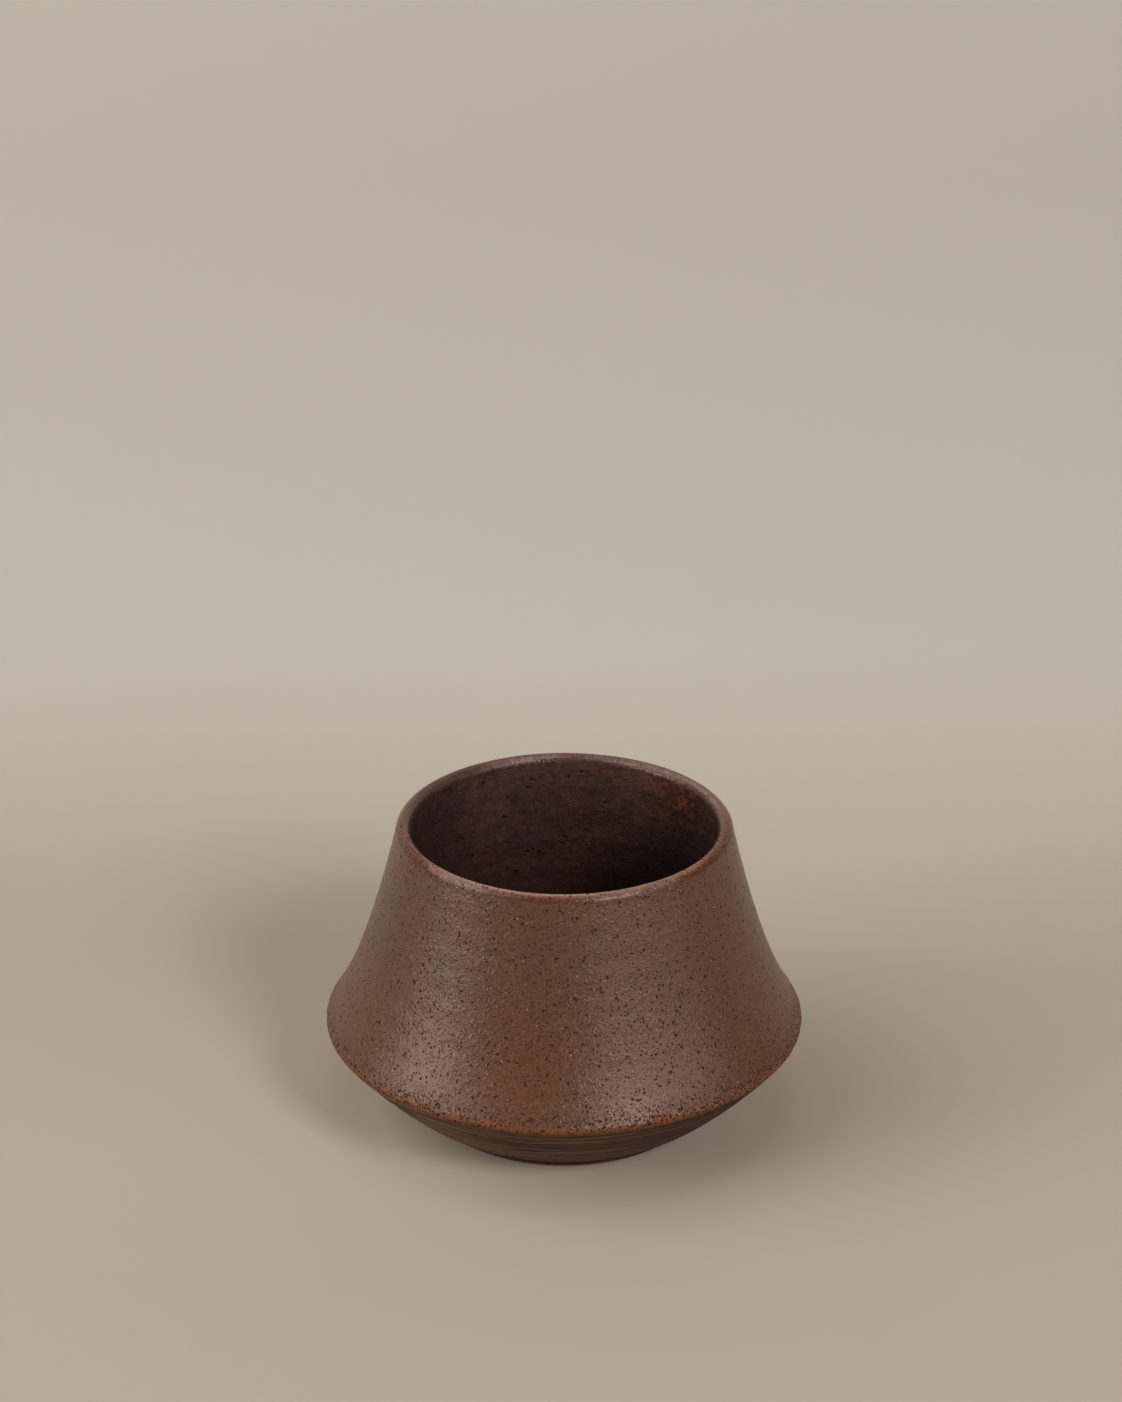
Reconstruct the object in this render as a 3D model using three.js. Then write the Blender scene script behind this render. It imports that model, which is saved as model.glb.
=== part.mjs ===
// A handle-less stoneware cup with a sharp shoulder, built the way a potter builds it: a turned
// base bowl on a foot ring, a wall luted to the bowl at the shoulder, and two fired glaze coats.
// Millimetres, +Z up. The cup stands on z = 0 and its axis is the Z axis.
import * as THREE from "three";

// Driving dimensions of the outside
const CUP_HEIGHT = 68.4;
const SHOULDER_RADIUS = 52.75; // where the wall and the underside would meet if the edge were sharp
const SHOULDER_HEIGHT = 21.6;
const SHOULDER_EASE = 1.0; // how far from the sharp corner the edge starts to round over
const FOOT_RADIUS = 30.0;
const FOOT_HEIGHT = 2.4;
const RIM_RADIUS = 34.9; // to the middle of the lip
const LIP_THICKNESS = 3.2;

// Points that pull the curved sides in
const WALL_PULL = { radius: 44.0, height: 34.2 };
const UNDERSIDE_PULL = { radius: 40.4, height: 7.1 };
const INSIDE_WALL_PULL = { radius: 40.1, height: 34.5 };

// The inside
const INSIDE_SHOULDER = { radius: 47.4, height: 22.2 };
const INSIDE_SHOULDER_EASE = 4.0;
const FLOOR_RADIUS = 20.0; // the flat middle of the floor
const FLOOR_HEIGHT = 6.4;
const BOWL_PULL_RADIUS = 36.5;

// The foot ring and what holds the pieces together
const FOOT_RING_WIDTH = 5.0;
const FOOT_EDGE_EASE = 0.6;
const FOOT_FLARE = 2.9; // how much wider the ring is where it meets the bowl
const GLAZE_THICKNESS = 0.4;
const SLIP_THICKNESS = 0.3;
const SLIP_SET_BACK = 0.5; // how far the slip under the bowl stays back from the ring's faces

// How finely the round stretches are divided
const TURN_STEPS = 48;
const WALL_STEPS = 5;
const LIP_STEPS = 4;
const BOWL_STEPS = 4;

const point = (radius, height) => new THREE.Vector2(radius, height);
const at = ({ radius, height }) => point(radius, height);

// A smooth curve between two points, drawn towards a third.
const bend = (from, pull, to, steps) => new THREE.QuadraticBezierCurve(from, pull, to).getPoints(steps);

// The point that lies a distance from a corner on the way to another point.
const towards = (corner, goal, distance) =>
  corner.clone().add(goal.clone().sub(corner).setLength(distance));

// A rounded corner with a narrow middle step, as wide as the slip seam that comes out there.
function seamedCorner(from, corner, to) {
  const curve = new THREE.QuadraticBezierCurve(from, corner, to);
  const half = SLIP_THICKNESS / 2 / from.distanceTo(to);
  return [0, 0.5 - half, 0.5 + half, 1].map((share) => curve.getPoint(share));
}

// An outline moved sideways, to the left of the way it runs.
function inset(outline, distance) {
  return outline.map((here, i) => {
    const before = outline[Math.max(i - 1, 0)];
    const after = outline[Math.min(i + 1, outline.length - 1)];
    const along = after.clone().sub(before).normalize();
    return point(here.x - along.y * distance, here.y + along.x * distance);
  });
}

// One named solid of revolution about Z from an outline in radius and height.
function turned(name, outline, material) {
  const geometry = new THREE.LatheGeometry(outline, TURN_STEPS).rotateX(Math.PI / 2);
  const mesh = new THREE.Mesh(geometry, material);
  mesh.name = name;
  return mesh;
}

const closed = (outline) => [...outline, outline[0]];
const backwards = (outline) => [...outline].reverse();

// Materials
const stoneware = (color, roughness) => new THREE.MeshStandardMaterial({ color, roughness, metalness: 0 });
const bareClay = () => stoneware(0x4f3e31, 0.8);
const firedSlip = () => stoneware(0x5e4838, 0.85);
const satinGlaze = () => stoneware(0x604435, 0.45);
const linerGlaze = () => stoneware(0x3a261d, 0.35);

// The underside, from the foot ring's top to just below the shoulder's edge
const shoulder = point(SHOULDER_RADIUS, SHOULDER_HEIGHT);
const wallPull = at(WALL_PULL);
const undersidePull = at(UNDERSIDE_PULL);
const bowlStart = point(FOOT_RADIUS + FOOT_FLARE, FOOT_HEIGHT + SLIP_THICKNESS);
const edgeLow = towards(shoulder, undersidePull, SHOULDER_EASE);
const edgeHigh = towards(shoulder, wallPull, SHOULDER_EASE);
const underside = bend(bowlStart, undersidePull, edgeLow, BOWL_STEPS);

// The lip, half round from the outside over to the inside
const lipRadius = LIP_THICKNESS / 2;
const lipHeight = CUP_HEIGHT - lipRadius;
const lip = Array.from({ length: LIP_STEPS + 1 }, (_, i) => {
  const angle = (i / LIP_STEPS) * Math.PI;
  return point(RIM_RADIUS + lipRadius * Math.cos(angle), lipHeight + lipRadius * Math.sin(angle));
});

// The inside, from under the lip down to the middle of the floor
const insideShoulder = at(INSIDE_SHOULDER);
const insideWallPull = at(INSIDE_WALL_PULL);
const bowlPull = point(BOWL_PULL_RADIUS, FLOOR_HEIGHT);
const insideHigh = towards(insideShoulder, insideWallPull, INSIDE_SHOULDER_EASE);
const insideLow = towards(insideShoulder, bowlPull, INSIDE_SHOULDER_EASE);
const lipInside = lip[LIP_STEPS];
const lipOutside = lip[0];

// The glaze's outer face in one run: shoulder edge, wall, lip, inside wall, inside shoulder, bowl, floor
const shoulderEdge = seamedCorner(edgeLow, shoulder, edgeHigh);
const outsideWall = bend(edgeHigh, wallPull, lipOutside, WALL_STEPS).slice(1);
const insideWall = bend(lipInside, insideWallPull, insideHigh, WALL_STEPS).slice(1);
const insideEdge = seamedCorner(insideHigh, insideShoulder, insideLow).slice(1);
const insideBowl = bend(insideLow, bowlPull, point(FLOOR_RADIUS, FLOOR_HEIGHT), BOWL_STEPS).slice(1);
const skin = [
  ...shoulderEdge,
  ...outsideWall,
  ...lip.slice(1),
  ...insideWall,
  ...insideEdge,
  ...insideBowl,
  point(0, FLOOR_HEIGHT),
];
const clayFace = inset(skin, GLAZE_THICKNESS);

// Where along that run one piece ends and the next begins
const glazeJoin = skin.indexOf(lipInside);
const seamOutside = skin.indexOf(shoulderEdge[1]);
const seamInside = skin.indexOf(insideEdge[0]);

// Pieces
const outerGlaze = turned(
  "outer_glaze",
  closed([...skin.slice(0, glazeJoin + 1), ...backwards(clayFace.slice(0, glazeJoin + 1))]),
  satinGlaze(),
);
const liner = turned(
  "liner_glaze",
  [...backwards(clayFace.slice(glazeJoin)), ...skin.slice(glazeJoin)],
  linerGlaze(),
);
const upperWall = turned("upper_wall", closed(clayFace.slice(seamOutside + 1, seamInside + 1)), bareClay());
const shoulderSlip = turned(
  "shoulder_slip",
  closed([
    clayFace[seamOutside],
    clayFace[seamOutside + 1],
    clayFace[seamInside],
    clayFace[seamInside + 1],
  ]),
  firedSlip(),
);
const baseBowl = turned(
  "base_bowl",
  [
    point(0, bowlStart.y),
    ...underside,
    ...clayFace.slice(0, seamOutside + 1),
    ...clayFace.slice(seamInside + 1),
  ],
  bareClay(),
);

// The foot ring stands on a flat underside with eased edges and flares out to meet the bowl.
const ringInside = FOOT_RADIUS - FOOT_RING_WIDTH;
const footRing = turned(
  "foot_ring",
  closed([
    point(ringInside + FOOT_EDGE_EASE, 0),
    point(FOOT_RADIUS - FOOT_EDGE_EASE, 0),
    point(FOOT_RADIUS, FOOT_EDGE_EASE),
    point(FOOT_RADIUS, FOOT_HEIGHT / 2),
    point(FOOT_RADIUS + FOOT_FLARE, FOOT_HEIGHT),
    point(ringInside, FOOT_HEIGHT),
    point(ringInside, FOOT_EDGE_EASE),
  ]),
  bareClay(),
);
const footSlip = turned(
  "foot_slip",
  closed([
    point(ringInside + SLIP_SET_BACK, FOOT_HEIGHT),
    point(FOOT_RADIUS + FOOT_FLARE - SLIP_SET_BACK, FOOT_HEIGHT),
    point(FOOT_RADIUS + FOOT_FLARE - SLIP_SET_BACK, FOOT_HEIGHT + SLIP_THICKNESS),
    point(ringInside + SLIP_SET_BACK, FOOT_HEIGHT + SLIP_THICKNESS),
  ]),
  firedSlip(),
);

const cup = new THREE.Group();
cup.add(footRing, footSlip, baseBowl, shoulderSlip, upperWall, outerGlaze, liner);

export default cup;
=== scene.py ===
"""Looks of a handle-less stoneware cup: glaze coats, turned clay, stage and camera."""

import math

import bmesh
import bpy
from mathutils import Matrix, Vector, geometry, noise


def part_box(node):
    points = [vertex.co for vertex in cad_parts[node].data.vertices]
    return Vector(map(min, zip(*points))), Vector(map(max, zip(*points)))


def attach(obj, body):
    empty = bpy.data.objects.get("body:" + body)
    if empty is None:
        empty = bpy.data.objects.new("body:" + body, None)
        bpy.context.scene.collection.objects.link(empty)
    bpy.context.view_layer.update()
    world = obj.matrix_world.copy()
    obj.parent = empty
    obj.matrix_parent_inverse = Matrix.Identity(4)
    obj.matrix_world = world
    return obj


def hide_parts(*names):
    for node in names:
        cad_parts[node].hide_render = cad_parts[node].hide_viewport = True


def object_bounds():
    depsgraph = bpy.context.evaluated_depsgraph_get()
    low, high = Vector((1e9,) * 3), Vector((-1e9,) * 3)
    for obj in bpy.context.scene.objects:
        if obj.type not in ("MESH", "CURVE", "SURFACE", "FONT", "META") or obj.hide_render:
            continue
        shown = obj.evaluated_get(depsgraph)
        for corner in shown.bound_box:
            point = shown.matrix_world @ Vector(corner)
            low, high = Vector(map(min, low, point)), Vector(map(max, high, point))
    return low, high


bl_info = {
    "name": "Stoneware Cup",
    "version": (1, 0, 0),
    "blender": (4, 5, 0),
    "location": "3D View > Sidebar > Cup",
    "description": "Dresses the solids of a speckled stoneware cup",
    "category": "Object",
}

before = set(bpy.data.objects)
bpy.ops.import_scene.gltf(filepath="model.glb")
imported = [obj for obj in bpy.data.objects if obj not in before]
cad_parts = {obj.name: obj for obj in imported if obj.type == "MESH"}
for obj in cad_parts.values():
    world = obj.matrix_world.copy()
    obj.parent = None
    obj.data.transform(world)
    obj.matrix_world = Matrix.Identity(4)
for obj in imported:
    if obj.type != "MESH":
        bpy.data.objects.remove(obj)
CAD_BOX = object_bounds()
BODY = "root"

MM = 0.001
PER_METRE = 1000.0
MERGE = 1e-7
SHARP_ANGLE = math.radians(50)
FULL_TURN = 2 * math.pi
WEDGES = 20
WEDGE_STEPS = 20

# Steps along the runs of the section and along the backdrop's curve
FOOT_FACE_STEPS = 4
FOOT_EASE_STEPS = 5
FOOT_SIDE_STEPS = 10
FOOT_INSIDE_STEPS = 3
BOTTOM_STEPS = 40
UNDERSIDE_STEPS = 96
EDGE_STEPS = 8
WALL_STEPS = 84
LIP_STEPS = 14
INSIDE_WALL_STEPS = 66
INSIDE_EDGE_STEPS = 14
INSIDE_BOWL_STEPS = 40
FLOOR_STEPS = 24
SWEEP_STEPS = 24
BACKING_STEP = 6
LEDGE_POINTS = 4

# Depths of the marks that hand and tool leave, in millimetres
WOBBLE_OUT = 0.16
WOBBLE_UP = 0.10
RING_DEPTH = 0.018
DENT_DEPTH = 0.06
DIMPLE_DEPTH = 0.02
NIBBLE_DEPTH = 0.10
RIDGE_DEPTH = 0.07
WAVE_DEPTH = 0.08
HOLLOW_DEPTH = 0.10
GROOVE_DEPTH = 0.22
SCRATCH_DEPTH = 0.12
FOOT_DENT_DEPTH = 0.06

# Places on the cup, in millimetres
LIP_RADIUS = 34.9
LIP_HEIGHT = 66.8
NIBBLE_HEIGHT = 21.8
RUST_PATCH = (25, 22, 65)

# How much of the way up the underside's slope is height and how much is radius
SLOPE_RISE = 0.76
SLOPE_REACH = 0.65

PLAIN = (1.0, 1.0, 1.0)
SKY_TINT = (1.0, 0.95, 0.88, 1)
LAMP_REACH = 3.0

# Each lamp's name, width and height in metres, azimuth and elevation in degrees, and tint
LAMPS = (
    ("key", (1.6, 1.1), (-71, 14), (1.0, 1.0, 0.97)),
    ("high", (3.2, 2.0), (-78, 45), (0.97, 1.0, 1.02)),
    ("fill", (3.4, 1.3), (46, 16), (1.0, 0.99, 0.98)),
    ("front", (0.75, 0.75), (33, 36), (1.0, 0.99, 0.98)),
    ("top", (1.2, 1.2), (30, 80), (0.9, 0.97, 1.12)),
)


# Properties

def linear(red, green, blue):
    """Scene-linear colour of an 8-bit screen colour."""
    def channel(value):
        share = value / 255
        return share / 12.92 if share <= 0.04045 else ((share + 0.055) / 1.055) ** 2.4
    return channel(red), channel(green), channel(blue)


def distance(name, description, metres):
    """A length that a user can change."""
    return bpy.props.FloatProperty(
        name=name, description=description, default=metres, precision=5, unit="LENGTH", subtype="DISTANCE")


def colour(name, description, red, green, blue):
    """A colour that a user can change, given as an 8-bit screen colour."""
    return bpy.props.FloatVectorProperty(
        name=name, description=description, default=linear(red, green, blue), min=0, max=1, size=3, subtype="COLOR")


def share(name, description, value):
    """A plain number that a user can change."""
    return bpy.props.FloatProperty(name=name, description=description, default=value, min=0)


class CupSizes(bpy.types.PropertyGroup):
    """The cup's section, which repeats that of the solids."""

    cup_height: distance("Cup height", "Foot to the top of the lip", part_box("outer_glaze")[1].z)
    lip_thickness: distance("Lip thickness", "Across the rounded lip", 3.2 * MM)
    rim_radius: distance("Rim radius", "Axis to the middle of the lip", 34.9 * MM)
    wall_pull_radius: distance("Wall pull radius", "Where the wall's curve is drawn to", 44.0 * MM)
    wall_pull_height: distance("Wall pull height", "Where the wall's curve is drawn to", 34.2 * MM)
    shoulder_radius: distance("Shoulder radius", "Axis to the shoulder's sharp corner", 52.75 * MM)
    shoulder_height: distance("Shoulder height", "Foot to the shoulder's sharp corner", 21.6 * MM)
    shoulder_ease: distance("Shoulder ease", "How far the shoulder's edge is rounded", 1.0 * MM)
    under_pull_radius: distance("Underside pull radius", "Where the bowl's curve is drawn to", 40.4 * MM)
    under_pull_height: distance("Underside pull height", "Where the bowl's curve is drawn to", 7.1 * MM)
    bowl_foot_radius: distance("Bowl foot radius", "Where bowl and foot ring meet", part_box("foot_ring")[1].x)
    bowl_bottom: distance("Bowl bottom", "Height of the bowl's flat underside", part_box("base_bowl")[0].z)
    foot_height: distance("Foot height", "Height of the foot ring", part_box("foot_ring")[1].z)
    foot_radius: distance("Foot radius", "Outside of the foot ring", 30.0 * MM)
    foot_width: distance("Foot width", "Width of the foot ring", 5.0 * MM)
    foot_ease: distance("Foot ease", "Rounding of the foot ring's edges", 0.35 * MM)
    inside_pull_radius: distance("Inside pull radius", "Where the inside wall is drawn to", 40.1 * MM)
    inside_pull_height: distance("Inside pull height", "Where the inside wall is drawn to", 34.5 * MM)
    inside_shoulder_radius: distance("Inside shoulder radius", "Axis to the inside corner", 47.4 * MM)
    inside_shoulder_height: distance("Inside shoulder height", "Foot to the inside corner", 22.2 * MM)
    inside_ease: distance("Inside ease", "Rounding of the inside corner", 4.0 * MM)
    floor_height: distance("Floor height", "Foot to the glazed floor", 6.4 * MM)
    floor_radius: distance("Floor radius", "Flat middle of the floor", 20.0 * MM)
    floor_pull_radius: distance("Floor pull radius", "Where the inside bowl is drawn to", 36.5 * MM)
    glaze_thickness: distance(
        "Glaze thickness", "Depth of the glaze on the clay",
        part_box("outer_glaze")[1].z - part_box("upper_wall")[1].z)


class CupFinishes(bpy.types.PropertyGroup):
    """Colours of the glazes and the clay."""

    satin_brown: colour("Satin brown", "Middle tone of the outer glaze", 99, 63, 45)
    olive_brown: colour("Olive brown", "Greyer clouds in the outer glaze", 87, 65, 48)
    red_brown: colour("Red brown", "Warmer glaze towards the shoulder", 103, 65, 44)
    iron_speck: colour("Iron speck", "Specks that bleed through the glaze", 24, 14, 10)
    # Pale open bubbles, also standing in as painted glints on the glaze.
    pale_pit_and_glint: colour("Pale pit", "Tiny open bubbles", 200, 176, 150)
    rust_edge: colour("Rust edge", "Thin glaze along the shoulder", 117, 61, 12)
    # Thin pale glaze along the lip's front edge, lightened as a painted highlight; it is laid only on the front.
    lip_thin_glaze_and_highlight: colour("Lip brown", "Thin glaze over the front of the lip", 184, 146, 128)
    lip_rust: colour("Lip rust", "Glaze that breaks to rust round the lip", 120, 70, 44)
    # Red glaze over the back of the lip, lightened as a painted sheen.
    lip_red_and_sheen: colour("Lip red", "Glaze over the back of the lip", 116, 80, 67)
    # Painted shade: a darker tone on the lip's inner side, where it turns into the shaded inside, and on its left
    # back.
    lip_painted_shade: colour("Lip inside", "Where the outer glaze runs into the inside", 78, 51, 41)
    # Painted highlight: a pale bluish colour laid on the round of the lip where lamp glints show.
    lip_painted_highlight: colour("Lip bloom", "Bluish bloom on the round of the lip", 150, 120, 116)
    liner_brown: colour("Liner brown", "Middle tone of the inside", 102, 71, 59)
    liner_dark: colour("Liner dark", "Dark streaks inside", 77, 56, 49)
    liner_cool: colour("Liner cool", "Bluish clouds inside", 84, 64, 62)
    # Painted shade, not thick glaze: a dark colour laid on the inside's left and right sides, more on the right, and
    # on the lip's inner edge.
    liner_painted_shade: colour("Liner pool", "Where the inside glaze ran thick", 45, 34, 31)
    liner_rust: colour("Liner rust", "Rust patches inside", 124, 62, 36)
    turned_clay: colour("Turned clay", "Bare clay under the shoulder", 112, 77, 57)
    # Painted light: a paler, greyer clay tone on the underside's left.
    clay_painted_light: colour("Clay grey", "Greyer clay on one side", 108, 90, 76)
    clay_shade: colour("Clay shade", "Turning lines in the clay", 42, 27, 18)
    foot_clay: colour("Foot clay", "Smooth clay towards the foot", 104, 73, 58)


class StageLook(bpy.types.PropertyGroup):
    """The floor, the lamps and the camera."""

    floor_colour: colour("Floor", "The floor near the cup", 199, 184, 165)
    backdrop_colour: colour("Backdrop", "The floor further back and the backdrop", 215, 206, 193)
    sky_strength: share("Sky strength", "Even light from all round", 0.03)
    key_power: share("Key power", "Watts of the low lamp on the left", 34.8)
    high_power: share("High power", "Watts of the wide lamp high on the left", 38.0)
    fill_power: share("Fill power", "Watts of the wide low lamp on the right", 33.5)
    front_power: share("Front power", "Watts of the lamp at the front right", 29.5)
    top_power: share("Top power", "Watts of the lamp overhead", 6.5)
    camera_side: distance("Camera side", "Camera to the right of the axis", -0.687 * MM)
    camera_back: distance("Camera distance", "Camera in front of the axis", 757.2 * MM)
    camera_height: distance("Camera height", "Camera above the foot", 438.2 * MM)
    camera_tilt: bpy.props.FloatProperty(
        name="Camera tilt", description="How far the camera looks down", default=math.radians(24.26), subtype="ANGLE")
    camera_lens: bpy.props.FloatProperty(
        name="Lens", description="Focal length on a 36 mm long side", default=100.0, unit="CAMERA")


# Shader expressions

class Value:
    """A number socket of a finish. Arithmetic on it adds Math nodes."""

    def __init__(self, finish, socket):
        self.finish = finish
        self.socket = socket

    def maths(self, operation, first, second=0.0):
        return self.finish.node("ShaderNodeMath", {"operation": operation}, {0: first, 1: second})

    def __add__(self, other):
        return self.maths("ADD", self, other)

    __radd__ = __add__

    def __mul__(self, other):
        return self.maths("MULTIPLY", self, other)

    __rmul__ = __mul__

    def __sub__(self, other):
        return self.maths("SUBTRACT", self, other)

    def __rsub__(self, other):
        return self.maths("SUBTRACT", other, self)

    def __abs__(self):
        return self.maths("ABSOLUTE", self)


class Finish:
    """A node material whose patterns are measured in millimetres on the cup."""

    def __init__(self, name):
        self.material = bpy.data.materials.new(name)
        self.material.use_nodes = True
        self.tree = self.material.node_tree
        self.shader = self.tree.nodes["Principled BSDF"]
        metres = self.node("ShaderNodeTexCoord", output="Object")
        self.place = self.scaled(metres, PER_METRE)
        self.side, self.depth, self.height = (
            self.node("ShaderNodeSeparateXYZ", sockets={0: self.place}, output=axis) for axis in "XYZ")
        self.radius = self.apart(self.vectors("MULTIPLY", self.place, (1, 1, 0)), (0, 0, 0))

    def node(self, kind, settings=None, sockets=None, output=0):
        """Adds a node, sets it, fills or links its sockets and returns one output."""
        made = self.tree.nodes.new(kind)
        for name, setting in (settings or {}).items():
            setattr(made, name, setting)
        for key, value in (sockets or {}).items():
            self.fill(socket_of(made.inputs, key), value)
        return Value(self, socket_of(made.outputs, output))

    def fill(self, socket, value):
        """Links a socket to a value's socket, or writes a constant into it."""
        if isinstance(value, Value):
            self.tree.links.new(value.socket, socket)
        elif socket.type == "RGBA":
            socket.default_value = (*value, 1.0)
        else:
            socket.default_value = value

    def vectors(self, operation, first, second):
        """What a Vector Math node makes of two vectors."""
        return self.node("ShaderNodeVectorMath", {"operation": operation}, {0: first, 1: second})

    def scaled(self, vector, factor):
        """The vector, that many times as long."""
        return self.node("ShaderNodeVectorMath", {"operation": "SCALE"}, {0: vector, "Scale": factor})

    def apart(self, first, second):
        """How far apart two places are."""
        return self.node("ShaderNodeVectorMath", {"operation": "DISTANCE"}, {0: first, 1: second}, "Value")

    def larger(self, first, second):
        """The larger of two masks."""
        return self.node("ShaderNodeMath", {"operation": "MAXIMUM"}, {0: first, 1: second})

    def smooth(self, value, low, high):
        """0 below low, 1 above high and a smooth step between."""
        limits = {0: value, 1: low, 2: high}
        return self.node("ShaderNodeMapRange", {"interpolation_type": "SMOOTHSTEP"}, limits)

    def between(self, value, low, high, soft):
        """1 from low to high, and 0 further off than soft."""
        return self.smooth(value, low - soft, low) * (1 - self.smooth(value, high, high + soft))

    def turned(self, across, along):
        """The angle of a place, in degrees from the along axis towards the across axis."""
        return self.node("ShaderNodeMath", {"operation": "ARCTAN2"}, {0: across, 1: along}) * math.degrees(1)

    def mix(self, mask, first, second):
        """The first colour where the mask is 0 and the second where it is 1."""
        colours = {"Factor_Float": mask, "A_Color": first, "B_Color": second}
        return self.node("ShaderNodeMix", {"data_type": "RGBA"}, colours, "Result_Color")

    def clouds(self, size, detail=3.0, place=None, output="Fac"):
        """Noise whose clouds are about that many millimetres across."""
        sockets = {"Vector": place or self.place, "Scale": 1 / size, "Detail": detail, "Roughness": 0.55}
        return self.node("ShaderNodeTexNoise", sockets=sockets, output=output)

    def shaken(self, size, amount):
        """The place, shaken by noise, so that what is drawn on it is uneven."""
        centred = self.vectors("SUBTRACT", self.clouds(size, 2.0, output="Color"), (0.5, 0.5, 0.5))
        return self.vectors("ADD", self.place, self.scaled(centred, amount))

    def specks(self, spacing, size, place, softness=0.35):
        """Mask of specks up to that many millimetres across."""
        sockets = {"Vector": place, "Scale": 1 / spacing}
        reach = self.node("ShaderNodeTexVoronoi", sockets=sockets, output="Distance")
        edge = size / 2 / spacing
        return 1 - self.smooth(reach, edge * (1 - softness), edge * (1 + softness))

    def worms(self, size, width):
        """Mask of short winding lines, as where a glaze wrinkles."""
        line = 1 - self.smooth(abs(self.clouds(size, 1.0) - 0.5), 0.0, width)
        return line * self.smooth(self.clouds(size * 1.7, 2.0), 0.42, 0.58)

    def tint(self, tone, mask, dark, light):
        """The tone, shaded from dark to light by the mask."""
        shade = self.mix(mask, dark, light)
        settings = {"data_type": "RGBA", "blend_type": "MULTIPLY"}
        sockets = {"Factor_Float": 1.0, "A_Color": tone, "B_Color": shade}
        return self.node("ShaderNodeMix", settings, sockets, "Result_Color")

    def rings(self, size, stretch, along):
        """Noise drawn out round the cup, with that many millimetres between lines."""
        flat = self.vectors("MULTIPLY", self.place, (stretch, stretch, 0))
        line = self.node("ShaderNodeCombineXYZ", sockets={"Z": along})
        return self.clouds(size, 2.0, self.vectors("ADD", flat, line))

    def bump(self, relief, depth):
        """A normal for a relief that is that many metres deep."""
        return self.node("ShaderNodeBump", sockets={"Strength": 1.0, "Distance": depth, "Height": relief})

    def surface(self, sockets):
        """Fills the shader's sockets and returns the finished material."""
        for name, value in sockets.items():
            self.fill(self.shader.inputs[name], value)
        return self.material


def socket_of(sockets, key):
    """A node's socket by its place, its identifier or its name."""
    if isinstance(key, int):
        return sockets[key]
    named = [socket for socket in sockets if key in (socket.identifier, socket.name)]
    return named[0]


# Finishes

def wall_tone(glaze, look):
    """The glaze on the wall: brown with olive clouds, redder towards the shoulder."""
    cloud = glaze.smooth(glaze.clouds(18.0, 4.0), 0.4, 0.66)
    tone = glaze.mix(cloud * 0.5, look.satin_brown, look.olive_brown)
    low = 1 - glaze.smooth(glaze.height + glaze.clouds(9.0) * 14.0, 28.0, 52.0)
    tone = glaze.mix(low * 0.8, tone, look.red_brown)
    middle = 1 - 0.6 * glaze.smooth(abs(glaze.side + 8.0), 12.0, 32.0)
    olive = glaze.smooth(glaze.height, 34.0, 56.0) * (0.35 + 0.65 * glaze.smooth(glaze.clouds(5.0), 0.42, 0.6))
    return glaze.mix(olive * middle * 0.65, tone, look.olive_brown)


def lip_tone(glaze, look, tone, rolled, back):
    """The tone with rust over the lip, red glaze with a painted sheen at its back, painted shade on its inner side,
    at its left back and under its roll, and pale thin glaze with a painted highlight in front.
    """
    patches = 0.4 + 0.5 * glaze.smooth(glaze.clouds(2.4), 0.42, 0.6)
    tone = glaze.mix(rolled * patches, tone, look.lip_rust)
    # Red glaze with a painted sheen on the back of the lip.
    tone = glaze.mix(rolled * back, tone, look.lip_red_and_sheen)
    # Painted shade: the back of the lip darker towards the left.
    tone = glaze.mix(rolled * back * glaze.smooth(glaze.side, -10.0, -26.0) * 0.6, tone, look.lip_painted_shade)
    # Painted shade: a dark band on the outside just under the rolled lip.
    below = glaze.smooth(glaze.height, 66.86, 67.38) * (1 - glaze.smooth(glaze.height, 67.72, 68.14))
    tone = glaze.mix(below * glaze.smooth(glaze.radius, 34.9, 35.28) * 0.3, tone, look.iron_speck)
    # Painted shade: the lip's inner side darkened as it turns into the hollow.
    inner = (1 - glaze.smooth(glaze.radius, 33.15, 34.77)) * glaze.smooth(glaze.depth, -22.0, 0.0)
    tone = glaze.mix(inner * 0.95, tone, look.lip_painted_shade)
    # Pale thin glaze with a painted highlight, along the inner edge of the lip's front only.
    front = glaze.smooth(glaze.depth, -14.0, -33.0)
    crown = glaze.smooth(glaze.height + glaze.clouds(1.2) * 0.34, 68.1, 68.4)
    thin = crown * (1 - glaze.smooth(glaze.radius, 35.03, 35.97))
    return glaze.mix(thin * front * 0.85, tone, look.lip_thin_glaze_and_highlight)


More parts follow.
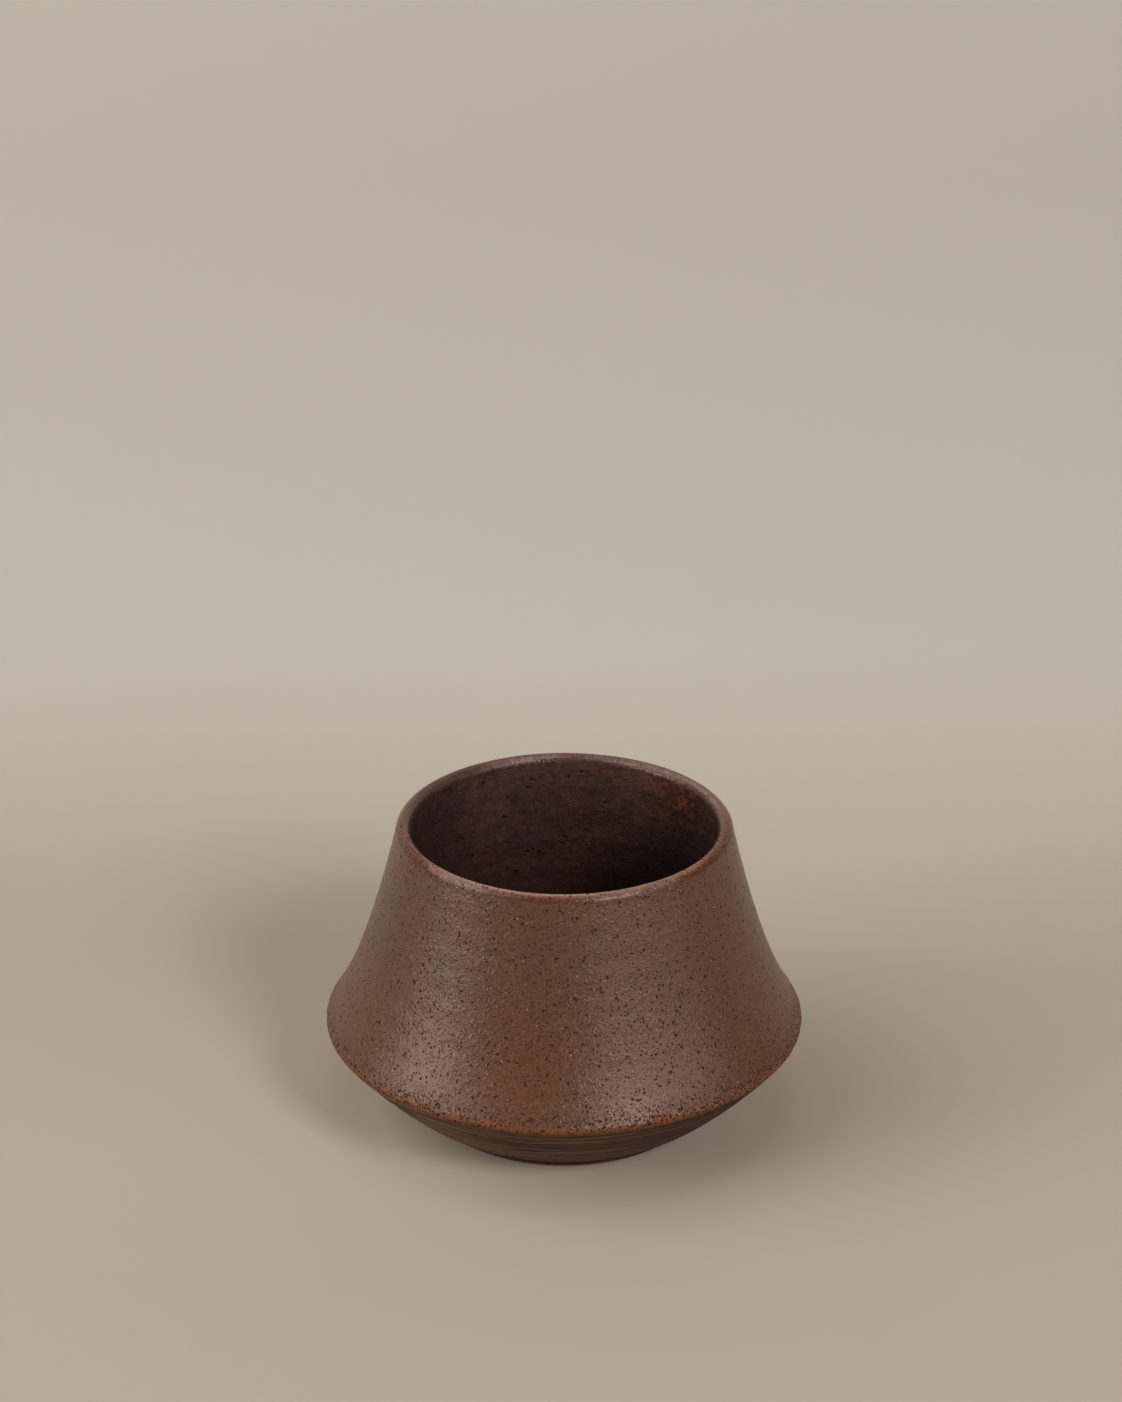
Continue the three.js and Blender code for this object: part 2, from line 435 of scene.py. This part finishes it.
def lip_painted_light(glaze, look, tone, back):
    """The tone with painted shade and painted highlights that change round the lip.

    The angle over goes from 0 outside to 180 inside, and around from 0 in front to 90 on the right.
    """
    over = glaze.turned(glaze.height - LIP_HEIGHT, glaze.radius - LIP_RADIUS)
    around = glaze.turned(glaze.side, 0 - glaze.depth)
    both_ends = glaze.between(around, -86, -58, 10) + glaze.between(around, 60, 86, 10)
    both_backs = 0.7 * glaze.between(around, 132, 164, 8) + glaze.between(around, -166, -116, 8)
    # Painted shade round the lip: darker tints at its front right, front middle, both ends and back crest, and a
    # warmer tint along its outer side.
    shades = (
        (glaze.between(over, 78, 104, 6) * glaze.between(around, 14, 44, 6), (0.78, 0.68, 0.6)),
        (glaze.between(over, 42, 80, 6) * glaze.between(around, -24, -2, 6), (0.93, 0.9, 0.88)),
        (glaze.between(over, 14, 38, 8), (1.06, 0.94, 0.87)),
        (glaze.between(over, 36, 84, 8) * both_ends, (0.82, 0.6, 0.5)),
        (glaze.between(over, 80, 106, 5) * both_backs, (0.6, 0.5, 0.46)),
    )
    for mask, shade in shades:
        tone = glaze.tint(tone, mask, PLAIN, shade)
    # Painted shade: the inner edge of the lip darkened on both sides, where it turns into the hollow.
    lip_edge_painted_shade = glaze.smooth(over, 118, 132) * glaze.between(abs(around), 72, 116, 10)
    tone = glaze.mix(lip_edge_painted_shade * 0.35, tone, look.liner_painted_shade)

    # Painted highlights: glints and a streak on the round of the lip, behind and ahead, mixed in as a pale bluish
    # colour.
    inside_round = glaze.smooth(glaze.radius, 33.32, 33.66) * (1 - glaze.smooth(glaze.radius, 34.26, 34.86))
    left_glint = 0.9 * glaze.smooth(abs(glaze.side + 9.0), 4.0, 11.0)
    right_glint = 0.6 * glaze.smooth(abs(glaze.side - 13.0), 4.0, 11.0)
    glints = (1.65 - left_glint - right_glint) * (1 - glaze.smooth(glaze.side, 14.0, 22.0))
    streak = glaze.between(over, 100, 126, 6) * glaze.between(around, 106, 146, 8)
    behind = inside_round * back * glints + streak
    right, left = glaze.between(around, 15, 38, 7), glaze.between(around, -50, -30, 6)
    ahead = glaze.between(over, 40, 62, 8) * (1.2 * right + left) + 0.5 * glaze.between(over, 60, 76, 6) * left
    uneven = 0.5 + 0.5 * glaze.smooth(glaze.clouds(2.0), 0.4, 0.6)
    return glaze.mix((0.75 * behind + 0.55 * ahead) * uneven, tone, look.lip_painted_highlight)


def shoulder_rust(glaze):
    """Mask of the thin glaze along the shoulder: a ragged band over a nearly closed edge."""
    spread = glaze.smooth(glaze.clouds(13.0), 0.5, 0.72) * 2.4
    ragged = glaze.height + glaze.clouds(2.2, 4.0) * 2.4 - spread
    patchy = glaze.smooth(glaze.clouds(1.3, 3.0), 0.30, 0.55)
    band = (1 - glaze.smooth(ragged, 22.6, 23.8)) * (0.25 + 0.75 * patchy)
    edge = (1 - glaze.smooth(glaze.height + glaze.clouds(1.0), 22.0, 22.7)) * (0.6 + 0.4 * patchy)
    return glaze.larger(band, edge)


def iron_specks(glaze):
    """Mask of the specks, which crowd along the shoulder."""
    shaken = glaze.shaken(1.1, 1.0)
    large = glaze.specks(1.18, 0.47, shaken, 0.1)
    bold = glaze.specks(2.6, 0.68, shaken, 0.1)
    near_edge = 1 - glaze.smooth(glaze.height, 22.5, 26.5)
    crowd = glaze.specks(0.72, 0.48, shaken, 0.1) * near_edge
    return glaze.larger(glaze.larger(large, crowd), bold)


def satin_glaze(look):
    """Speckled satin glaze that breaks to rust at the shoulder and thins over the lip, with painted shade and painted
    highlights round the lip.
    """
    glaze = Finish("satin_glaze")
    back = glaze.smooth(glaze.depth, -10.0, 12.0)
    rolled = glaze.smooth(glaze.height + glaze.clouds(1.6) * 1.2, 67.98, 68.57)
    tone = wall_tone(glaze, look)
    tone = lip_tone(glaze, look, tone, rolled, back)
    tone = lip_painted_light(glaze, look, tone, back)
    rust = shoulder_rust(glaze)
    tone = glaze.mix(rust * 0.9, tone, look.rust_edge)

    grain = glaze.clouds(0.45, 3.0)
    worms = glaze.worms(1.3, 0.15)
    lines = glaze.worms(0.9, 0.1)
    tone = glaze.tint(tone, glaze.smooth(grain, 0.28, 0.75) - 0.42 * lines, (0.72, 0.71, 0.7), (1.28, 1.26, 1.23))

    iron = iron_specks(glaze) * (1 - rolled * back * 0.8)
    fine = glaze.specks(0.8, 0.33, glaze.shaken(0.7, 0.9), 0.15)
    tone = glaze.mix(fine * 0.75, tone, look.iron_speck)
    tone = glaze.mix(iron * 0.96, tone, look.iron_speck)
    # Pale pits, partly painted glints.
    pits = glaze.specks(2.2, 0.28, glaze.place)
    tone = glaze.mix(pits * 0.55, tone, look.pale_pit_and_glint)

    rim = glaze.smooth(glaze.height, 67.38, 68.06)
    roughness = 0.29 - 0.14 * rim + 0.1 * grain + 0.4 * iron + 0.33 * rust
    relief = 0.45 * glaze.clouds(0.9, 3.0) + 0.42 * worms + 0.2 * grain - 0.7 * iron - 0.3 * fine
    normal = glaze.bump(relief * (1 - 0.7 * rolled * back), 0.12 * MM)
    return glaze.surface(
        {"Base Color": tone, "Roughness": roughness, "Specular Tint": (1.0, 0.78, 0.75), "Normal": normal})


def liner_glaze(look):
    """The glaze inside, with rust patches, faint streaks, open pits and painted shade at its sides."""
    glaze = Finish("liner_glaze")
    streak = glaze.smooth(glaze.rings(2.2, 0.3, glaze.height), 0.35, 0.7)
    mottle = glaze.smooth(glaze.clouds(2.4, 5.0), 0.36, 0.62)
    tone = glaze.mix(0.35 * streak + 0.65 * mottle, look.liner_brown, look.liner_dark)
    tone = glaze.mix(glaze.smooth(glaze.clouds(4.4), 0.48, 0.66) * 0.35, tone, look.liner_cool)
    patch = glaze.smooth(glaze.clouds(6.0, 5.0), 0.5, 0.68) * glaze.smooth(glaze.clouds(1.5, 3.0), 0.4, 0.6)
    tone = glaze.mix(patch * 0.35, tone, look.liner_rust)
    reach = glaze.apart(glaze.place, RUST_PATCH)
    near = 1 - glaze.smooth(reach, 1.5, 8.0)
    around = 1 - glaze.smooth(reach, 4.0, 22.0)
    bloom = (0.75 * near + 0.45 * around) * glaze.smooth(glaze.clouds(1.6, 4.0), 0.45, 0.6)
    # Painted shade: the inside darker towards its left and right sides, and more on the right.
    sides_painted_shade = glaze.smooth(abs(glaze.side) + glaze.clouds(9.0) * 8.0, 18.0, 36.0)
    tone = glaze.mix(sides_painted_shade * 0.7, tone, look.liner_painted_shade)
    right_painted_shade = glaze.smooth(glaze.side + glaze.clouds(9.0) * 8.0, 22.0, 34.0)
    tone = glaze.mix(right_painted_shade * 0.65, tone, look.liner_painted_shade)
    tone = glaze.mix(bloom, tone, look.liner_rust)
    shaken = glaze.shaken(1.6, 1.6)
    pits = glaze.specks(3.8, 0.95, shaken, 0.3)
    fine = glaze.specks(1.5, 0.5, shaken, 0.3)
    tone = glaze.mix(fine * 0.5, tone, look.iron_speck)
    tone = glaze.mix(pits * 0.9, tone, look.iron_speck)
    grain = glaze.clouds(0.6, 3.0)
    worms = glaze.worms(1.7, 0.16)
    tone = glaze.tint(tone, glaze.smooth(grain, 0.28, 0.75) - 0.4 * worms, (0.68, 0.67, 0.66), (1.32, 1.29, 1.27))
    roughness = 0.30 + 0.14 * grain + 0.2 * pits
    relief = 0.8 * glaze.clouds(1.4, 3.0) + 0.5 * worms + 0.4 * grain - 1.2 * pits - 0.4 * fine
    normal = glaze.bump(relief, 0.12 * MM)
    return glaze.surface({"Base Color": tone, "Roughness": roughness, "Normal": normal})


def turned_clay(look):
    """Bare clay with turning lines below the shoulder, rubbed smooth towards the foot, with painted light on its left
    and painted shade on its right.
    """
    clay = Finish("turned_clay")
    slant = clay.height * SLOPE_RISE + clay.radius * SLOPE_REACH
    lines = clay.rings(0.7, 0.03, slant)
    broad = clay.rings(2.6, 0.02, slant)
    broken = clay.smooth(clay.clouds(3.0), 0.35, 0.6)
    turned = clay.smooth(clay.height + clay.clouds(8.0) * 3.0, 9.0, 13.0)
    tone = clay.mix(turned, look.foot_clay, look.turned_clay)
    # Painted light: the underside paler and greyer towards its left.
    tone = clay.mix(clay.smooth(clay.side, -12.0, -44.0) * 0.5, tone, look.clay_painted_light)
    fine_lines = clay.smooth(lines, 0.42, 0.58) * (0.4 + 0.2 * turned + 0.4 * broken)
    tone = clay.mix(fine_lines, tone, look.clay_shade)
    broad_lines = clay.smooth(broad, 0.42, 0.62) * (0.2 + 0.35 * turned)
    tone = clay.mix(broad_lines, tone, look.clay_shade)
    # Painted light and shade: the underside lighter on its left and darker on its right.
    tone = clay.tint(tone, clay.smooth(clay.side, 46.0, -46.0), (0.46, 0.43, 0.385), (1.28, 1.31, 1.32))
    specks = clay.specks(2.4, 0.6, clay.shaken(1.2, 0.6))
    tone = clay.mix(specks * 0.6, tone, look.iron_speck)
    grain = clay.clouds(0.5, 3.0)
    roughness = 0.52 + 0.2 * grain
    relief = lines * (0.3 + 0.7 * turned) + 0.3 * grain - 0.3 * specks
    normal = clay.bump(relief, 0.15 * MM)
    return clay.surface(
        {"Base Color": tone, "Roughness": roughness, "Specular IOR Level": 0.15, "Normal": normal})


def raw_clay(look):
    """Dry clay of the pieces that the glaze hides."""
    clay = Finish("raw_clay")
    grain = clay.clouds(0.6, 4.0)
    tone = clay.mix(grain, look.turned_clay, look.clay_shade)
    roughness = 0.7 + 0.2 * grain
    return clay.surface({"Base Color": tone, "Roughness": roughness, "Normal": clay.bump(grain, 0.1 * MM)})


def floor_paper(look):
    """Plain matt paper that gets paler towards the back."""
    paper = Finish("floor_paper")
    tone = paper.mix(paper.smooth(paper.depth, 60.0, 260.0), look.floor_colour, look.backdrop_colour)
    return paper.surface({"Base Color": tone, "Roughness": 0.9, "Specular IOR Level": 0.1})


# Outlines

def point(radius, height):
    """A point of the section, on the side that faces +X."""
    return Vector((radius, 0, height))


def bend(start, pull, end, steps):
    """Points of a curve from start to end that leans towards pull."""
    return geometry.interpolate_bezier(start, start.lerp(pull, 2 / 3), end.lerp(pull, 2 / 3), end, steps + 1)


def straight(start, end, steps):
    """Points on a line from start to end."""
    return [start.lerp(end, i / steps) for i in range(steps + 1)]


def towards(corner, goal, reach):
    """The point that lies that far from a corner on the way to another."""
    return corner + (goal - corner).normalized() * reach


def inset(outline, depth):
    """An outline moved to the left of the way it runs."""
    moved = []
    for i, here in enumerate(outline):
        along = (outline[min(i + 1, len(outline) - 1)] - outline[max(i - 1, 0)]).normalized()
        moved.append(here + Vector((-along.z, 0, along.x)) * depth)
    return moved


class Section:
    """The cup's section as runs of points."""

    def __init__(self, sizes):
        lip_radius = sizes.lip_thickness / 2
        lip_middle = point(sizes.rim_radius, sizes.cup_height - lip_radius)
        shoulder = point(sizes.shoulder_radius, sizes.shoulder_height)
        wall_pull = point(sizes.wall_pull_radius, sizes.wall_pull_height)
        under_pull = point(sizes.under_pull_radius, sizes.under_pull_height)
        inside_corner = point(sizes.inside_shoulder_radius, sizes.inside_shoulder_height)
        inside_pull = point(sizes.inside_pull_radius, sizes.inside_pull_height)
        floor_pull = point(sizes.floor_pull_radius, sizes.floor_height)
        edge_low = towards(shoulder, under_pull, sizes.shoulder_ease)
        edge_high = towards(shoulder, wall_pull, sizes.shoulder_ease)
        inside_high = towards(inside_corner, inside_pull, sizes.inside_ease)
        inside_low = towards(inside_corner, floor_pull, sizes.inside_ease)

        self.edge = bend(edge_low, shoulder, edge_high, EDGE_STEPS)
        self.lip = [lip_middle + Vector((math.cos(a), 0, math.sin(a))) * lip_radius
                    for a in (math.pi * i / LIP_STEPS for i in range(LIP_STEPS + 1))]
        self.wall = bend(edge_high, wall_pull, self.lip[0], WALL_STEPS)
        self.underside = bend(
            point(sizes.bowl_foot_radius, sizes.bowl_bottom), under_pull, edge_low, UNDERSIDE_STEPS)
        inside_wall = bend(self.lip[-1], inside_pull, inside_high, INSIDE_WALL_STEPS)
        inside_edge = bend(inside_high, inside_corner, inside_low, INSIDE_EDGE_STEPS)
        floor_edge = point(sizes.floor_radius, sizes.floor_height)
        inside_bowl = bend(inside_low, floor_pull, floor_edge, INSIDE_BOWL_STEPS)
        floor = straight(inside_bowl[-1], point(0, sizes.floor_height), FLOOR_STEPS)
        self.outside = self.edge + self.wall[1:] + self.lip[1:]
        self.inside = inside_wall + inside_edge[1:] + inside_bowl[1:] + floor[1:]


def thinned(outline, step):
    """Every step-th point of an outline, with both ends."""
    return outline[:-1:step] + outline[-1:]


# Meshes

def turn(outline, closed):
    """The outline turned once round the cup's axis, wedge by wedge, with its faces pointing out."""
    mesh = bmesh.new()
    corners = [mesh.verts.new(place) for place in outline]
    ends = corners[1:] + corners[:1] if closed else corners[1:]
    edges = [mesh.edges.new(pair) for pair in zip(corners, ends)]
    wedge = FULL_TURN / WEDGES
    axis = {"cent": (0, 0, 0), "axis": (0, 0, 1), "dvec": (0, 0, 0)}
    bmesh.ops.spin(mesh, geom=corners + edges, angle=wedge, steps=WEDGE_STEPS, **axis)
    bmesh.ops.spin(
        mesh, geom=mesh.verts[:] + mesh.edges[:] + mesh.faces[:],
        angle=FULL_TURN - wedge, steps=WEDGES - 1, use_duplicate=True, **axis)
    bmesh.ops.remove_doubles(mesh, verts=mesh.verts, dist=MERGE)
    bmesh.ops.dissolve_degenerate(mesh, edges=mesh.edges, dist=MERGE)
    bmesh.ops.recalc_face_normals(mesh, faces=mesh.faces)
    return mesh


def sculpt(mesh, relief):
    """Moves every point along its normal by relief, and lets the whole cup wobble a little."""
    mesh.normal_update()
    for vert in mesh.verts:
        vert.co += vert.normal * relief(vert.co)
    for vert in mesh.verts:
        vert.co += wobble(vert.co)


def ramp(value, low, high):
    """0 up to low, 1 from high on and straight between."""
    return min(max((value - low) / (high - low), 0), 1)


def heading(place):
    """The level direction from the cup's axis to a place."""
    return Vector((place.x, place.y, 0)).normalized()


def wobble(place):
    """How a hand-thrown cup strays from true round. It is nothing on the floor it stands on."""
    height = place.z / CAD_BOX[1].z
    around = heading(place)
    out = noise.noise(around * 0.9 + Vector((0, 0, height * 1.5))) * WOBBLE_OUT * MM
    up = noise.noise(around * 0.8 + Vector((5, 5, 0))) * WOBBLE_UP * MM
    rise = ramp(height, 0, 1)
    return around * out * rise + Vector((0, 0, up * rise * rise))


def wall_relief(place):
    """Faint throwing rings and dents on the outside wall, and a nibbled shoulder."""
    height = place.z * PER_METRE
    angle = math.atan2(place.y, place.x)
    millimetres = place * PER_METRE
    rings = math.sin(height * 1.15 + angle) * RING_DEPTH
    dents = noise.noise(millimetres * 0.055) * DENT_DEPTH + noise.noise(millimetres * 0.3) * DIMPLE_DEPTH
    near_edge = math.exp(-((height - NIBBLE_HEIGHT) / 1.6) ** 2)
    nibbles = noise.noise(millimetres * 0.45 + Vector((9, 0, 0))) * NIBBLE_DEPTH * near_edge
    return (rings + dents + nibbles) * MM


def inside_relief(place):
    """Throwing ridges that spiral up the inside and fade out under the lip."""
    millimetres = place * PER_METRE
    radius = math.hypot(millimetres.x, millimetres.y)
    angle = math.atan2(place.y, place.x)
    run = millimetres.z + radius * 0.35
    fade = (1 - ramp(millimetres.z, 56.0, 66.0)) * ramp(radius, 0.0, 6.0)
    ridges = math.sin(run * 0.85 + angle) * RIDGE_DEPTH + noise.noise(Vector((0, 0, run * 0.35))) * WAVE_DEPTH
    hollows = noise.noise(millimetres * 0.09) * HOLLOW_DEPTH
    return (ridges + hollows) * fade * MM


def underside_relief(place):
    """Turning grooves under the shoulder, fading where the clay is rubbed smooth."""
    millimetres = place * PER_METRE
    radius = math.hypot(millimetres.x, millimetres.y)
    slant = millimetres.z * SLOPE_RISE + radius * SLOPE_REACH
    around = heading(place) * 0.5
    turned = ramp(millimetres.z, 8.0, 13.0) * (1 - ramp(millimetres.z, 20.0, 21.0))
    grooves = noise.noise(around + Vector((0, 0, slant * 0.42))) * GROOVE_DEPTH
    scratches = noise.noise(around * 2 + Vector((3, 0, slant * 0.9))) * SCRATCH_DEPTH
    return (grooves + scratches) * turned * MM


def foot_relief(place):
    """Slight unevenness of the foot ring, none where it stands."""
    return noise.noise(place * PER_METRE * 0.25) * FOOT_DENT_DEPTH * ramp(place.z, 0, MM) * MM


def add_object(name, mesh, material):
    """Makes a smooth object of a mesh, with one material."""
    data = bpy.data.meshes.new(name)
    mesh.to_mesh(data)
    mesh.free()
    data.polygons.foreach_set("use_smooth", [True] * len(data.polygons))
    data.materials.append(material)
    made = bpy.data.objects.new(name, data)
    bpy.context.scene.collection.objects.link(made)
    return made


def add_piece(name, mesh, material, slot, *nodes):
    """Makes an object of a mesh, which rides on the cup and stands for solids."""
    piece = add_object(name, mesh, material)
    piece.data.set_sharp_from_angle(angle=SHARP_ANGLE)
    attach(piece, BODY)
    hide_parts(*nodes)


# Operators

class CUP_OT_outer_glaze(bpy.types.Operator):
    """Add the speckled outer glaze coat"""

    bl_idname = "cup.outer_glaze"
    bl_label = "Outer Glaze"

    def execute(self, context):
        sizes = context.scene.cup_sizes
        outside = Section(sizes).outside
        backing = inset(outside, sizes.glaze_thickness)
        mesh = turn(outside + thinned(backing, BACKING_STEP)[::-1], True)
        sculpt(mesh, wall_relief)
        add_piece("outer_glaze_coat", mesh, satin_glaze(context.scene.cup_finishes), "satin_glaze", "outer_glaze")
        return {"FINISHED"}


class CUP_OT_liner_glaze(bpy.types.Operator):
    """Add the glaze coat inside"""

    bl_idname = "cup.liner_glaze"
    bl_label = "Liner Glaze"

    def execute(self, context):
        sizes = context.scene.cup_sizes
        inside = Section(sizes).inside
        backing = inset(inside, sizes.glaze_thickness)
        mesh = turn(thinned(backing, BACKING_STEP)[::-1] + inside, False)
        sculpt(mesh, inside_relief)
        add_piece("liner_glaze_coat", mesh, liner_glaze(context.scene.cup_finishes), "liner_glaze", "liner_glaze")
        return {"FINISHED"}


class CUP_OT_turned_bowl(bpy.types.Operator):
    """Add the turned bowl under the shoulder"""

    bl_idname = "cup.turned_bowl"
    bl_label = "Turned Bowl"

    def execute(self, context):
        sizes = context.scene.cup_sizes
        section = Section(sizes)
        bottom = straight(point(0, sizes.bowl_bottom), section.underside[0], BOTTOM_STEPS)
        ledge = inset(section.edge, sizes.glaze_thickness)[:LEDGE_POINTS]
        core = [place for place in inset(section.inside, sizes.glaze_thickness) if place.z < ledge[-1].z]
        mesh = turn(bottom + section.underside[1:] + ledge + thinned(core, BACKING_STEP), False)
        sculpt(mesh, underside_relief)
        add_piece("turned_bowl", mesh, turned_clay(context.scene.cup_finishes), "bare_clay", "base_bowl")
        return {"FINISHED"}


class CUP_OT_foot_ring(bpy.types.Operator):
    """Add the foot ring"""

    bl_idname = "cup.foot_ring"
    bl_label = "Foot Ring"

    def execute(self, context):
        sizes = context.scene.cup_sizes
        outside, inside = sizes.foot_radius, sizes.foot_radius - sizes.foot_width
        ease, top = sizes.foot_ease, sizes.foot_height
        neck, pull = point(sizes.bowl_foot_radius, top), point(outside, top * 0.6)
        outline = (
            straight(point(inside + ease, 0), point(outside - ease, 0), FOOT_FACE_STEPS)
            + bend(point(outside - ease, 0), point(outside, 0), point(outside, ease), FOOT_EASE_STEPS)[1:]
            + bend(point(outside, ease), pull, neck, FOOT_SIDE_STEPS)[1:]
            + straight(neck, point(inside, top), FOOT_FACE_STEPS)[1:]
            + straight(point(inside, top), point(inside, ease), FOOT_INSIDE_STEPS)[1:]
            + bend(point(inside, ease), point(inside, 0), point(inside + ease, 0), FOOT_EASE_STEPS)[1:-1])
        mesh = turn(outline, True)
        sculpt(mesh, foot_relief)
        add_piece("turned_foot_ring", mesh, turned_clay(context.scene.cup_finishes), "bare_clay", "foot_ring")
        return {"FINISHED"}


class CUP_OT_clay_core(bpy.types.Operator):
    """Give the clay and slip under the glaze their finish"""

    bl_idname = "cup.clay_core"
    bl_label = "Clay Core"

    def execute(self, context):
        material = raw_clay(context.scene.cup_finishes)
        for node in ("upper_wall", "shoulder_slip", "foot_slip"):
            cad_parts[node].material_slots[0].material = material
        return {"FINISHED"}


class CUP_OT_stage(bpy.types.Operator):
    """Add the floor, lamps and camera"""

    bl_idname = "cup.stage"
    bl_label = "Stage"

    def execute(self, context):
        look = context.scene.cup_stage
        add_floor(look)
        add_sky(context.scene, look)
        for name, size, direction, tint in LAMPS:
            add_lamp(name, getattr(look, f"{name}_power"), size, turned_to(*direction), tint)
        add_camera(context.scene, look)
        context.scene.view_settings.view_transform = "Standard"
        return {"FINISHED"}


def add_floor(look):
    """A floor that sweeps up into a backdrop."""
    half_width, front, back, top, sweep = 9.0, -9.0, 1.6, 2.6, 0.9
    mesh = bmesh.new()
    rise = bend(point(back - sweep, 0), point(back, 0), point(back, sweep), SWEEP_STEPS)
    outline = [point(front, 0), *rise, point(back, top)]
    corners = [mesh.verts.new((-half_width, place.x, place.z)) for place in outline]
    edges = [mesh.edges.new(pair) for pair in zip(corners, corners[1:])]
    grown = bmesh.ops.extrude_edge_only(mesh, edges=edges)["geom"]
    moved = [item for item in grown if isinstance(item, bmesh.types.BMVert)]
    bmesh.ops.translate(mesh, verts=moved, vec=(2 * half_width, 0, 0))
    bmesh.ops.recalc_face_normals(mesh, faces=mesh.faces)
    floor = add_object("floor", mesh, floor_paper(look))


def add_sky(scene, look):
    """Even light from all round."""
    scene.world = bpy.data.worlds.new("studio")
    scene.world.use_nodes = True
    background = scene.world.node_tree.nodes["Background"]
    background.inputs["Color"].default_value = SKY_TINT
    background.inputs["Strength"].default_value = look.sky_strength


def turned_to(azimuth, elevation):
    """A lamp's place: azimuth to the right of the camera and elevation above the floor, in degrees."""
    a, e = math.radians(azimuth), math.radians(elevation)
    return Vector((math.sin(a) * math.cos(e), -math.cos(a) * math.cos(e), math.sin(e))) * LAMP_REACH


def add_lamp(name, power, size, place, tint):
    """A wide soft lamp that looks at the middle of the cup."""
    data = bpy.data.lights.new(name, "AREA")
    data.shape = "RECTANGLE"
    data.energy = power
    data.color = tint
    data.size, data.size_y = size
    lamp = bpy.data.objects.new(name, data)
    lamp.location = place
    middle = (CAD_BOX[0] + CAD_BOX[1]) / 2
    lamp.rotation_euler = (middle - place).to_track_quat("-Z", "Y").to_euler()
    bpy.context.scene.collection.objects.link(lamp)


def add_camera(scene, look):
    """The camera at the photograph's viewing angle."""
    data = bpy.data.cameras.new("camera")
    data.lens = look.camera_lens
    camera = bpy.data.objects.new("camera", data)
    camera.location = (look.camera_side, -look.camera_back, look.camera_height)
    camera.rotation_euler = (math.pi / 2 - look.camera_tilt, 0, 0)
    scene.collection.objects.link(camera)
    scene.camera = camera


# Panel and registration

class CUP_PT_panel(bpy.types.Panel):
    """Lists the steps that dress the cup"""

    bl_idname = "CUP_PT_panel"
    bl_label = "Stoneware Cup"
    bl_space_type = "VIEW_3D"
    bl_region_type = "UI"
    bl_category = "Cup"

    def draw(self, context):
        for operator in STEPS:
            self.layout.operator(operator.bl_idname)
        for group in ("cup_sizes", "cup_finishes", "cup_stage"):
            settings = getattr(context.scene, group)
            box = self.layout.box()
            for name in settings.__annotations__:
                box.prop(settings, name)


GROUPS = {"cup_sizes": CupSizes, "cup_finishes": CupFinishes, "cup_stage": StageLook}
STEPS = (
    CUP_OT_stage,
    CUP_OT_outer_glaze,
    CUP_OT_liner_glaze,
    CUP_OT_turned_bowl,
    CUP_OT_foot_ring,
    CUP_OT_clay_core,
)


def register():
    for group in GROUPS.values():
        bpy.utils.register_class(group)
    for name, group in GROUPS.items():
        setattr(bpy.types.Scene, name, bpy.props.PointerProperty(type=group))
    for operator in STEPS:
        bpy.utils.register_class(operator)
    bpy.utils.register_class(CUP_PT_panel)


def unregister():
    bpy.utils.unregister_class(CUP_PT_panel)
    for operator in reversed(STEPS):
        bpy.utils.unregister_class(operator)
    for name in GROUPS:
        delattr(bpy.types.Scene, name)
    for group in reversed(GROUPS.values()):
        bpy.utils.unregister_class(group)


def main():
    register()
    bpy.ops.cup.stage()
    bpy.ops.cup.outer_glaze()
    bpy.ops.cup.liner_glaze()
    bpy.ops.cup.turned_bowl()
    bpy.ops.cup.foot_ring()
    bpy.ops.cup.clay_core()


if __name__ == "__main__":
    main()
